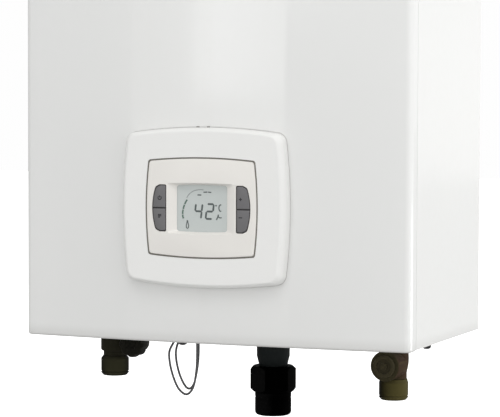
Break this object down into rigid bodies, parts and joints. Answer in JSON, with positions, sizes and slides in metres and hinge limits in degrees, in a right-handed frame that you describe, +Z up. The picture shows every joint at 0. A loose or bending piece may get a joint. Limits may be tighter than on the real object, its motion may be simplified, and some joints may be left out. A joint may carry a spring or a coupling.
{
  "type": "tankless water heater",
  "caption": "Wall-hung tankless gas water heater with a bowed white front, a domed control panel with display and keys, and water and gas connections below.",
  "frame": {"origin": "point on the back plate's rear face, at mid-width, on the line of the two keyholes that hang the heater", "axes": "+X to the viewer's right as seen from the front, -Y out of the front, +Z up"},
  "size_m": [0.35, 0.2113, 0.7622],
  "materials": {
    "enamel_white": "white enamel, satin",
    "moulded_white": "white moulded plastic",
    "moulded_grey": "dark grey keys",
    "display_glass": "clear lens",
    "display_body": "grey-green display",
    "board_green": "circuit board",
    "galvanised": "galvanised sheet",
    "copper": "copper, dull",
    "dark_brass": "darkened brass",
    "black_steel": "black finished steel",
    "cast_alloy": "die-cast",
    "black_plastic": "black moulded plastic",
    "black_rubber": "black rubber",
    "wire_jacket": "dark grey wire sleeve",
    "ceramic": "white ceramic"
  },
  "bodies": {
    "root": {"side_panel_left": "enamel_white", "side_panel_right": "enamel_white", "top_plate": "enamel_white", "bottom_plate": "enamel_white", "front_cover": "enamel_white", "flue_collar": "enamel_white", "control_bezel": "moulded_white", "control_fascia": "moulded_white", "display_lens": "display_glass", "display_module": "display_body", "control_board": "board_green", "back_plate": "galvanised", "burner": "galvanised", "flue_hood": "galvanised", "chamber_bracket": "galvanised", "flue_pipe": "galvanised", "flue_web_right": "galvanised", "flue_web_left": "galvanised", "flue_web_front": "galvanised", "combustion_chamber": "copper", "exchanger_shroud": "copper", "heat_exchanger": "copper", "gas_pipe": "copper", "gas_riser": "copper", "cold_pipe": "copper", "hot_pipe": "copper", "inlet_body": "dark_brass", "inlet_collar": "dark_brass", "outlet_elbow": "dark_brass", "outlet_plug": "dark_brass", "outlet_collar": "dark_brass", "gas_body": "black_steel", "gas_nut": "black_steel", "gas_tail": "black_steel", "fan_motor": "black_steel", "bottom_screw_left": "black_steel", "bottom_screw_right": "black_steel", "gas_valve": "cast_alloy", "gas_manifold": "cast_alloy", "fan_housing": "cast_alloy", "control_box": "black_plastic", "flow_sensor": "black_plastic", "ignition_module": "black_plastic", "grommet_left": "black_rubber", "grommet_right": "black_rubber", "flue_gasket": "black_rubber", "wire_loop_outer": "wire_jacket", "wire_loop_inner": "wire_jacket", "igniter": "ceramic", "flame_sensor": "ceramic"},
    "key_power": {"key_power": "moulded_grey"},
    "key_mode": {"key_mode": "moulded_grey"},
    "key_plus": {"key_plus": "moulded_grey"},
    "key_minus": {"key_minus": "moulded_grey"},
    "drain_knob": {"drain_knob": "black_plastic"},
    "fan_impeller": {"fan_impeller": "galvanised"},
    "flow_turbine": {"flow_turbine": "black_plastic"}
  },
  "joints": [
    {"name": "key_power_press", "type": "slide", "parent": "root", "child": "key_power", "axis": [0, 1, 0], "range_m": [0, 0.0008], "stiffness_N_per_m": 600},
    {"name": "key_mode_press", "type": "slide", "parent": "root", "child": "key_mode", "axis": [0, 1, 0], "range_m": [0, 0.0008], "stiffness_N_per_m": 600},
    {"name": "key_plus_press", "type": "slide", "parent": "root", "child": "key_plus", "axis": [0, 1, 0], "range_m": [0, 0.0008], "stiffness_N_per_m": 600},
    {"name": "key_minus_press", "type": "slide", "parent": "root", "child": "key_minus", "axis": [0, 1, 0], "range_m": [0, 0.0008], "stiffness_N_per_m": 600},
    {"name": "drain_knob_turn", "type": "hinge", "parent": "root", "child": "drain_knob", "pos_m": [-0.1175, -0.0893, -0.6155], "axis": [0, -1, 0], "range_deg": [0, 180]},
    {"name": "fan_spin", "type": "hinge", "parent": "root", "child": "fan_impeller", "pos_m": [-0.03, -0.0843, -0.079], "axis": [0, -1, 0], "continuous": true},
    {"name": "turbine_spin", "type": "hinge", "parent": "root", "child": "flow_turbine", "pos_m": [-0.1437, -0.08, -0.5537], "axis": [0, 0, 1], "continuous": true}
  ]
}
